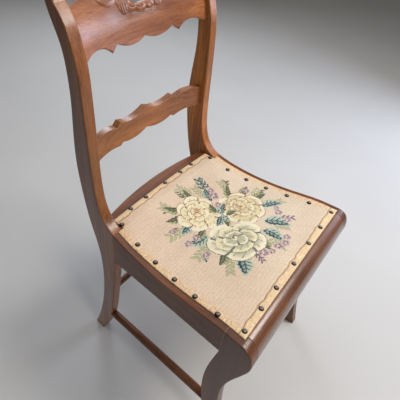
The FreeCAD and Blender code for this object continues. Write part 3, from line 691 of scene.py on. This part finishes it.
def simulate(x, y, z):
    """Cloth held by its nails and pressed up from below by the stuffing, on every fourth thread."""
    grid = np.stack([x, y, z], -1)[::COARSE, ::COARSE]
    rows, columns = grid.shape[:2]
    points = grid.reshape(-1, 3)
    faces = grid_faces(rows, columns)[kept_faces(COARSE).reshape(-1)]
    mesh = bpy.data.meshes.new("cloth_trial")
    mesh.from_pydata((points * MM).tolist(), [], faces.tolist())
    cloth = bpy.data.objects.new("cloth_trial", mesh)
    scene.collection.objects.link(cloth)
    group = cloth.vertex_groups.new(name="held")
    held = {int(np.hypot(*(points[:, :2] - nail).T).argmin()) for nail in nails}
    group.add(sorted(held), 1.0, "REPLACE")
    uses = np.bincount(faces.reshape(-1), minlength=len(points))
    edges = [int(i) for i in np.flatnonzero((uses > 0) & (uses < 4)) if int(i) not in held]
    group.add(edges, EDGE_HOLD, "REPLACE")
    modifier = cloth.modifiers.new("Cloth", "CLOTH")
    for key, value in CLOTH.items():
        setattr(modifier.settings, key, value)
    modifier.settings.effector_weights.gravity = 0
    modifier.settings.vertex_group_mass = "held"
    modifier.collision_settings.use_collision = False
    for number in range(1, CLOTH_FRAMES + 1):
        scene.frame_set(number)
    shaped = cloth.evaluated_get(bpy.context.evaluated_depsgraph_get()).to_mesh()
    lifted = np.array([v.co.z for v in shaped.vertices]) / MM - points[:, 2]
    cloth.to_mesh_clear()
    scene.frame_set(1)
    bpy.data.objects.remove(cloth)
    return lifted.reshape(rows, columns)


def finer(values):
    """Carry values on every fourth thread to every thread, smoothly."""
    for count in (cover_columns, cover_rows):
        places = np.arange(values.shape[1]) * COARSE
        values = np.array([np.interp(np.arange(count), places, line) for line in values]).T
    for _ in range(10):
        values[1:-1] = (values[:-2] + 2 * values[1:-1] + values[2:]) / 4
        values[:, 1:-1] = (values[:, :-2] + 2 * values[:, 1:-1] + values[:, 2:]) / 4
    return values


plan_x, plan_y = cover_plan()
flat_z = np.interp(plan_y, profile_depths, profile_heights)
edge_side = np.where(plan_y <= step_depth, cover_half(plan_y), tongue_half) - np.abs(plan_x)
edge_back = np.where(np.abs(plan_x) > tongue_half, step_depth, tongue_edge(plan_x)) - plan_y
edge_front = plan_y - cover_front
edge_gap = np.clip(np.minimum(np.minimum(edge_side, edge_front), edge_back), 0, None)

# The bulge is scaled to its height over the stuffing, and is pulled down by the nails
CROWN = 4.6
dome = np.zeros_like(flat_z)
dome = np.clip(finer(simulate(plan_x, plan_y, flat_z)), 0, None)
if dome.max() > 0:
    dome = dome * CROWN / dome.max()
else:
    dome = CROWN * smooth(0, 120, edge_gap)
dome = np.minimum(dome, 0.35 + 0.06 * edge_gap)
held_down = np.ones_like(dome)
for nail in nails:
    held_down *= smooth(2.0, 17.0, np.hypot(plan_x - nail[0], plan_y - nail[1])) * 0.8 + 0.2
ripple = 0.35 * smooth(0.0, 6.0, edge_gap) * smooth(26.0, 10.0, edge_gap) * (1 - held_down)
cover_z = flat_z + dome * held_down + ripple

# Hems: the front and back edges are turned under and sit a little prouder
FRONT_HEM = 13.2
BACK_HEM = 11.0
wander = 0.9 * np.sin(plan_x / 8.5 + 1.8 * np.sin(plan_x / 23.0)) + 0.6 * np.sin(plan_x / 3.7)
back_gap = np.where(np.abs(plan_x) < tongue_half - 1, edge_back - BACK_HEM, 99.0)
hem_gap = np.minimum(edge_front - FRONT_HEM, back_gap) + wander
proud = smooth(0.8, -0.8, hem_gap) * smooth(0.0, 2.0, edge_gap) * (0.4 + 0.6 * held_down)
cover_z = cover_z + (1.2 + 0.3 * wander) * proud
cover_z = cover_z - 0.6 * smooth(3.8, 0.9, hem_gap) * smooth(-0.2, 0.9, hem_gap)


def linear(red, green, blue):
    """An sRGB colour, 0 to 255, as linear light."""
    share = np.array([red, green, blue]) / 255.0
    return np.where(share <= 0.04045, share / 12.92, ((share + 0.055) / 1.055) ** 2.4)


# Wools: single tones of the roses, then dark, middle and pale of the rest
CREAM = linear(243, 234, 205)
PALE = linear(238, 229, 190)
STRAW = linear(231, 217, 170)
SHADE = linear(205, 189, 146)
GREEN_SHADE = linear(193, 192, 162)
BROWN = linear(164, 122, 94)
ROSE = linear(205, 150, 125)
GREY = linear(112, 114, 104)
YELLOW = linear(231, 215, 152)
OLIVES = (linear(70, 76, 58), linear(126, 130, 94), linear(180, 180, 138))
TEALS = (linear(38, 58, 72), linear(148, 172, 160), linear(186, 200, 182))
VIOLETS = (linear(118, 94, 104), linear(182, 158, 164), linear(212, 190, 188))
HAZES = (linear(172, 168, 132), linear(204, 196, 160), linear(222, 208, 176))


class Needlework:
    """Colours of the stitches, one for each cell, painted by simple shapes."""

    def __init__(self, x, y):
        self.x = x
        self.y = y
        self.colour = np.zeros(x.shape + (3,))

    def lay(self, where, tone):
        self.colour[where] = tone

    def blend(self, share, tone):
        share = share[..., None]
        self.colour = self.colour * (1 - share) + tone * share

    def away(self, place):
        return np.hypot(self.x - place[0], self.y - place[1])

    def seen_from(self, place, degrees):
        return turned(self.x - place[0], self.y - place[1], math.radians(degrees))

    def leaf(self, place, length, width, degrees, tones, soft=False):
        """Pointed leaf with a dark and a light half, dark veins and, if soft, a pale surround."""
        u, v = self.seen_from(place, degrees)
        share = np.clip(u / length, 0, 1)
        inside = (u > 0) & (u < length)
        v = v - 0.12 * length * np.sin(np.pi * share)
        reach = width * np.sin(np.pi * share ** 0.8) ** 0.85 * (1 + 0.10 * np.sin(share * 34.0))
        if soft:
            self.lay((np.abs(v) < reach + 3.0) & (u > -2) & (u < length + 3), tones[2])
        blade = inside & (np.abs(v) < reach)
        self.lay(blade, tones[1])
        self.lay(blade & (v > 0.25 * reach), tones[2])
        self.lay(blade & (v < -0.55 * reach), tones[0])
        veins = np.sin((share * 5.0 - np.abs(v) / width * 0.9) * 2 * np.pi) > 0.70
        self.lay(blade & veins & (np.abs(v) > 1.0) & (np.abs(v) < 0.85 * reach), tones[0])
        self.lay(inside & (np.abs(v) < 0.95) & (share < 0.93), tones[0])

    def stem(self, start, bend, end, tone):
        """Thin curved stem through three points."""
        for t in np.linspace(0, 1, 60):
            shares = ((1 - t) ** 2, 2 * t * (1 - t), t * t)
            self.lay(self.away(np.dot(shares, (start, bend, end))) < 0.9, tone)

    def rose(self, place, size, degrees, tones, rings, stretch=1.0):
        """Open rose: rings of overlapping petals, pale at their rims and drawn with darker lines.

        The tones are the rim, the body, the shade, the line and the heart. A ring has a reach and petals.
        """
        rim_tone, body, shade, line, heart = tones
        for ring, (reach, petals) in enumerate(rings):
            shift = 0.16 * size * (1 - reach)
            u, v = self.seen_from((place[0] + 0.4 * shift, place[1] + shift), degrees)
            u = u / stretch
            angle = np.arctan2(v, u)
            radius = np.hypot(u, v) / size
            bend = angle + 0.55 * ring + 0.5 * radius
            wave = np.abs(np.cos(petals * bend / 2 + ring))
            edge = reach * (0.80 + 0.20 * wave ** 0.55 + 0.035 * np.sin(3 * angle + 2 * ring))
            inside = radius < edge
            rim_width = 0.30 * reach + 0.05
            depth = np.clip((edge - radius) / rim_width, 0, 1)
            pale = body if ring % 2 else rim_tone
            share = smooth(0.30, 1.0, depth)[..., None]
            tone = pale * (1 - share) + shade * share
            self.colour[inside] = tone[inside]
            folds = np.sin(petals * 3.0 * bend + 9.0 * radius) > 0.88
            self.lay(inside & folds & (depth > 0.45), 0.55 * shade + 0.45 * line)
            self.lay(inside & (wave < 0.16) & (depth > 0.05), line)
            self.lay(inside & (depth < 1.3 / (size * rim_width)) & (np.sin(angle - 0.9 * ring) < 0.35), line)
        u, v = self.seen_from((place[0] + 0.06 * size, place[1] + 0.15 * size), degrees)
        radius = np.hypot(u, v) / (0.14 * size)
        spiral = np.sin(np.arctan2(v, u) + radius * 4.2)
        self.lay((radius < 1) & (spiral > 0.2), heart)
        self.lay((radius < 1) & (spiral < -0.65), line)

    def spray(self, place, length, degrees, tones, pairs):
        """Small stem with pairs of leaflets."""
        angle = math.radians(degrees)
        start = np.array(place)
        end = start + length * np.array([math.cos(angle), math.sin(angle)])
        self.stem(start, (start + end) / 2 + (3, -3), end, tones[0])
        for number in range(pairs):
            spot = start + (number + 1) / pairs * (end - start)
            for side in (-1, 1):
                self.leaf(spot, 0.42 * length, 0.11 * length, degrees + side * 42, tones)

    def floret(self, place, size, degrees, tones):
        """Small flower of five round petals with a yellow eye."""
        for number in range(5):
            angle = math.radians(degrees + number * 72)
            step = 0.58 * size
            gap = self.away((place[0] + step * math.cos(angle), place[1] + step * math.sin(angle)))
            self.lay(gap < 0.52 * size, tones[1 + number % 2])
            self.lay(gap < 0.2 * size, tones[0])
        self.lay(self.away(place) < 0.22 * size, YELLOW)


# The bouquet, laid in this order. Place, length and degrees of sprays, and of leaves with their width:
SPRAYS = (
    ((16, 40), 30, 100, OLIVES), ((46, 34), 34, 62, TEALS), ((82, 4), 30, 30, OLIVES),
    ((-36, 40), 28, 140, OLIVES), ((-62, 8), 36, 178, OLIVES), ((118, -60), 26, 10, OLIVES),
    ((-76, -66), 26, 196, TEALS),
    ((-30, -138), 24, 250, VIOLETS), ((26, -142), 30, 262, VIOLETS), ((64, 30), 28, 82, TEALS),
    ((88, -128), 28, -58, VIOLETS), ((-4, 50), 22, 82, OLIVES))
PALE_SPRAYS = (
    ((-40, 30), 40, 112), ((-58, -4), 42, 164), ((24, 44), 36, 112), ((84, -10), 38, 66), ((108, -50), 34, 2),
    ((104, -96), 36, -20), ((-64, -60), 40, 182), ((-70, -110), 34, 214), ((10, -136), 38, 282),
    ((56, -126), 34, 296), ((34, 20), 34, 84))
LEAVES = (
    ((-30, 34), 42, 9, 128, OLIVES), ((-40, 24), 44, 9, 158, OLIVES), ((-46, 4), 36, 8, 190, TEALS, True),
    ((10, 36), 36, 8, 84, OLIVES), ((36, 8), 40, 9, 60, TEALS), ((74, -20), 44, 9, 48, OLIVES),
    ((96, -36), 42, 9, 18, OLIVES), ((104, -60), 40, 10, -12, OLIVES), ((98, -84), 48, 10, -38, TEALS, True),
    ((60, -112), 52, 13, -66, TEALS, True), ((34, -124), 44, 11, -92, TEALS, True),
    ((-56, -124), 44, 13, 224, TEALS, True), ((-66, -96), 34, 9, 196, OLIVES),
    ((-52, -44), 44, 10, 160, TEALS, True), ((-40, -28), 34, 8, 186, OLIVES), ((14, -40), 36, 10, -14, TEALS),
    ((10, -30), 30, 9, 20, TEALS), ((26, -60), 32, 9, -60, OLIVES), ((-10, -44), 28, 8, 130, TEALS),
    ((2, -132), 32, 9, 256, OLIVES))
FLORETS = (
    ((-20, -154), 10, 10), ((-6, -166), 7, 40), ((52, 14), 11, 0), ((60, 28), 8, 30), ((-90, 14), 7, 15),
    ((-92, -28), 8, 50), ((-92, -70), 8, 20), ((120, -30), 8, 35), ((14, -168), 9, 5), ((30, -176), 8, 55),
    ((102, -122), 9, 25), ((112, -112), 7, 60), ((92, -148), 8, 10), ((-70, -30), 8, 44), ((46, -170), 8, 14))
ROSES = (
    ((-14, 6), 50, 140, (CREAM, PALE, STRAW, BROWN, ROSE), ((1.0, 7), (0.74, 5), (0.5, 5), (0.3, 4))),
    ((66, -54), 52, 75, (CREAM, STRAW, SHADE, BROWN, YELLOW),
     ((1.0, 6), (0.76, 5), (0.55, 5), (0.36, 4), (0.2, 3))),
    ((-24, -97), 52, -38, (CREAM, PALE, GREEN_SHADE, GREY, CREAM), ((1.0, 5), (0.7, 4), (0.42, 3)), 1.22))
MIDDLE_LEAVES = (
    ((16, -22), 30, 8, 70, OLIVES), ((20, -30), 34, 8, 24, TEALS), ((12, -34), 30, 8, 196, TEALS),
    ((24, -40), 26, 7, -20, OLIVES), ((14, -42), 26, 7, 232, OLIVES))
MIDDLE_FLORETS = (((24, -24), 9, 0, TEALS), ((14, -44), 8, 20, TEALS), ((38, -8), 8, 50, VIOLETS))


def stitched(x, y, edge, hem):
    """Colours of the whole cover at the middles of its cells."""
    rng = np.random.default_rng(11)
    work = Needlework(x, y)
    work.lay(np.ones(x.shape, bool), linear(228, 204, 180))
    work.blend(smooth(-150, 190, x - 0.7 * y), linear(225, 206, 183))
    work.colour *= (1.0 + 0.035 * np.sin(y * 2 * np.pi / 6.8 + 0.6 * np.sin(x / 31)))[..., None]
    for spray in SPRAYS:
        work.spray(*spray, pairs=3)
    for spray in PALE_SPRAYS:
        work.spray(*spray, HAZES, pairs=4)
    for leaf in LEAVES:
        work.leaf(*leaf)
    for floret in FLORETS:
        work.floret(*floret, VIOLETS)
    for rose in ROSES:
        work.rose(*rose)
    for leaf in MIDDLE_LEAVES:
        work.leaf(*leaf)
    for floret in MIDDLE_FLORETS:
        work.floret(*floret)

    # Bare canvas along the edges, and the hems with a painted shadow in their crease
    fleck = rng.random(x.shape)[..., None]
    gold = np.where(fleck < 0.3, linear(244, 222, 184), linear(232, 196, 146))
    gold = np.where(fleck > 0.72, linear(214, 158, 98), gold)
    bare = rng.random(x.shape) < smooth(32.0, 4.0, edge)
    work.blend(smooth(24.0, 4.0, edge) * (0.15 + 0.6 * bare), gold)
    work.blend(smooth(0.6, -0.6, hem), 0.4 * gold + 0.6 * linear(240, 216, 180))
    # Painted shadow: a brown line along the crease inside each hem
    work.blend(0.7 * smooth(3.0, 0.8, hem) * smooth(-1.0, 0.4, hem), linear(132, 90, 58))
    return work.colour * (1 + 0.05 * rng.standard_normal(x.shape))[..., None].clip(0.8, 1.2)


def middles(values):
    """Values at the middles of a grid's cells."""
    return (values[:-1, :-1] + values[1:, :-1] + values[:-1, 1:] + values[1:, 1:]) / 4


def needlework_material():
    """Wool stitches in the colours of the cells, each stitch a small ridge, with painted shade between the
    stitches.
    """
    paint = Paint("needlework")
    tone = paint.add("ShaderNodeAttribute", attribute_name="stitch").outputs["Color"]
    waves = paint.threads(STITCH * MM)
    ridge = paint.math("MULTIPLY", paint.math("POWER", waves[0], 0.5), paint.math("POWER", waves[1], 0.7))
    fuzz = paint.noise(2600.0, 2.0)
    age = paint.noise(9.0, 4.0, 0.6)
    # Painted shade: the colour darkens in the gaps between stitches; the age noise varies the tone at random
    for value, stops in ((ridge, ((0.0, (0.66, 0.62, 0.58)), (0.75, (1.04, 1.04, 1.04)))),
                         (age, ((0.3, (0.90, 0.88, 0.85)), (0.7, (1.05, 1.05, 1.05))))):
        tone = paint.mix(1.0, tone, paint.ramp(value, stops), "MULTIPLY")
    height = paint.sum(ridge, 1.0, fuzz, 0.35)
    return paint.finish(tone, 0.88, height, 0.0006, 0.55, sheen_weight=0.15, sheen_roughness=0.5)


def build_cover():
    """Stitched cover with a thin rim all round."""
    points = np.stack([plan_x, plan_y, cover_z], -1).reshape(-1, 3)
    kept = kept_faces(1)
    faces = grid_faces(cover_rows, cover_columns)[kept.reshape(-1)]
    colours = stitched(middles(plan_x), middles(plan_y), middles(edge_gap), middles(hem_gap))[kept]
    made = make_piece("needlework_cover", points, faces, needlework_material(), "needlework", ["seat_cover"])
    stitch = made.data.attributes.new("stitch", "FLOAT_COLOR", "CORNER")
    corners = np.ones((len(faces), 4, 4))
    corners[..., :3] = colours[:, None, :]
    stitch.data.foreach_set("color", corners.reshape(-1).astype(np.float32))
    shape = bmesh.new()
    shape.from_mesh(made.data)
    drop_loose(shape)
    rim = [edge for edge in shape.edges if edge.is_boundary]
    for fresh in bmesh.ops.extrude_edge_only(shape, edges=rim)["geom"]:
        if isinstance(fresh, bmesh.types.BMVert):
            fresh.co.z -= COVER_THICK * MM
    bmesh.ops.recalc_face_normals(shape, faces=shape.faces)
    shape.to_mesh(made.data)
    shape.free()


build_cover()

# Stuffing, hessian and straps under the cover
PAD_CROWN = 1.98
HESSIAN_THREAD = 1.6
STRAP_THICK = 1.4
STRAP_LIFT = 1.8      # how far the long straps lie above the cross straps


def soft_plan(name, rows, columns):
    """Grid over a seat layer's plan, heights of its underside and top, and half its width at both ends."""
    points = corners_of(name)
    solid = surface_of(name)
    front = points[:, 1].min()
    end = points[:, 1].max()
    halves = [np.abs(points[np.abs(points[:, 1] - depth) < 0.5, 0]).max() for depth in (front, end)]
    y = np.linspace(front, end, rows)
    x = np.linspace(-1, 1, columns) * np.interp(y, (front, end), halves)[:, None]
    depths = np.clip(y, front + 0.3, end - 0.3)
    tops = np.array([hit(solid, (5.0, depth, ABOVE), DOWN)[2] for depth in depths])
    lows = np.array([hit(solid, (5.0, depth, BELOW), UP)[2] for depth in depths])
    y, lows, tops = (np.repeat(values[:, None], columns, 1) for values in (y, lows, tops))
    return x, y, lows, tops, halves


def closed_slab(x, y, low, top):
    """Points and faces of a closed sheet between two heights."""
    rows, columns = x.shape
    points = np.concatenate([np.stack([x, y, height], -1).reshape(-1, 3) for height in (top, low)])
    count = rows * columns
    faces = [grid_faces(rows, columns), grid_faces(rows, columns, count)[:, ::-1]]
    index = np.arange(count).reshape(rows, columns)
    ring = np.concatenate([index[0], index[1:, -1], index[-1, -2::-1], index[-2:0:-1, 0]])
    after = np.roll(ring, -1)
    faces.append(np.stack([ring, ring + count, after + count, after], -1))
    return points, np.concatenate(faces)


def build_stuffing():
    """Thin pad, a little fuller in the middle."""
    stuffing = speckled("stuffing", ((300.0, 300.0, 90.0), 5.0, 0.7),
                        ((0.3, (0.30, 0.24, 0.16)), (0.7, (0.62, 0.54, 0.40))), 0.95, (0.001, 0.6))
    x, y, low, top, halves = soft_plan("seat_padding", 56, 48)
    from_edge = np.minimum(np.minimum(y - y.min(), y.max() - y), halves[1] * 1.03 - np.abs(x))
    full = PAD_CROWN * smooth(0, 90, from_edge)
    pad = make_piece("stuffing_pad", *closed_slab(x, y, low, top + full - 0.2), stuffing, "stuffing",
                     ["seat_padding"])


def hessian_material():
    """Open plain weave with slubs."""
    paint = Paint("hessian")
    weave = paint.math("MULTIPLY", *paint.threads(HESSIAN_THREAD * MM))
    slubs = paint.noise((500.0, 40.0, 100.0), 3.0, 0.6)
    # Darker between the threads: painted shade in the weave's gaps; the slubs vary the tone
    tone = paint.ramp(paint.sum(weave, 0.6, slubs, 0.4),
                      ((0.15, (0.16, 0.115, 0.06)), (0.6, (0.44, 0.34, 0.20))))
    return paint.finish(tone, 0.95, weave, 0.0006, 0.6)


def build_hessian():
    """Cloth over the straps, slightly uneven."""
    x, y, low, top, halves = soft_plan("base_cloth", 70, 60)
    sag = 0.25 * np.sin(x / 8.0) * np.sin(y / 9.0) * smooth(0, 30, halves[1] - np.abs(x))
    base = make_piece("hessian_cloth", *closed_slab(x, y, low + sag, top + sag), hessian_material(),
                      "hessian", ["base_cloth"])


build_stuffing()
build_hessian()


def webbing_material():
    """Jute webbing with a herringbone weave and a dark stripe near each edge, drawn on its own length."""
    paint = Paint("webbing")
    place = paint.add("ShaderNodeAttribute", attribute_name="strap").outputs["Vector"]
    parts = paint.add("ShaderNodeSeparateXYZ", {0: place})
    across = parts.outputs["X"]
    slant = paint.math("ADD", parts.outputs["Y"], paint.math("PINGPONG", across, 6.25))
    twill = paint.math("SINE", paint.math("MULTIPLY", slant, 2 * math.pi / 2.6))
    fuzz = paint.noise(700.0, 4.0, 0.6)
    tone = paint.ramp(paint.sum(twill, 0.18, fuzz, 1.0),
                      ((0.25, (0.22, 0.155, 0.085)), (0.75, (0.52, 0.41, 0.26))))
    from_stripe = paint.math("ABSOLUTE", paint.math("SUBTRACT", paint.math("ABSOLUTE", across), 17.0))
    tone = paint.mix(paint.between(from_stripe, 2.6, 2.2), tone, (0.085, 0.045, 0.03))
    return paint.finish(tone, 0.92, twill, 0.0005, 0.5)


webbing = webbing_material()
cross_straps = sorted(name for name in nodes if name.startswith("webbing_cross"))
long_straps = sorted(name for name in nodes if name.startswith("webbing_long"))
lanes = {name: list(zip(*(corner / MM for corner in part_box(name)))) for name in cross_straps + long_straps}


def build_strap(name, lengthwise, neighbours, number):
    """Strap along an axis, 0 or 1, that changes places with every other strap it crosses."""
    solid = surface_of(name)
    rows, columns = 120, 13
    ends = lanes[name][lengthwise]
    sides = lanes[name][1 - lengthwise]
    middle = sum(sides) / 2
    width = (sides[1] - sides[0]) / 2
    run = np.linspace(ends[0] + 0.4, ends[1] - 0.4, rows)
    found = []
    for place in run:
        # Beside the middle if a tack hole is there
        for nudge in (0.0, 3.0, -3.0):
            spot = (place, middle + nudge) if lengthwise == 0 else (middle + nudge, place)
            under = hit(solid, (*spot, BELOW), UP)
            if under is not None:
                found.append((place, under[2]))
                break
    height = np.interp(run, *np.array(found).T)
    for order, other in enumerate(neighbours):
        if (order + number) % 2:
            near = smooth(34.0, 22.0, np.abs(run - sum(lanes[other][lengthwise]) / 2))
            height = height + near * (STRAP_LIFT if lengthwise == 0 else -STRAP_LIFT)
    offsets = np.linspace(-width, width, columns)
    along, across = np.meshgrid(run, offsets, indexing="ij")
    low = np.repeat(height[:, None], columns, 1)
    plan = (along, middle + across) if lengthwise == 0 else (middle + across, along)
    points, faces = closed_slab(*plan, low, low + STRAP_THICK)
    if lengthwise == 0:
        faces = faces[:, ::-1]
    made = make_piece("strap_" + name, points, faces, webbing, "webbing", [name])
    drawn = made.data.attributes.new("strap", "FLOAT_VECTOR", "POINT")
    layer = np.stack([across, along, np.zeros_like(along)], -1).reshape(-1, 3)
    drawn.data.foreach_set("vector", np.concatenate([layer, layer]).reshape(-1).astype(np.float32))


for number, name in enumerate(cross_straps):
    build_strap(name, 0, long_straps, number)
for number, name in enumerate(long_straps):
    build_strap(name, 1, cross_straps, number)
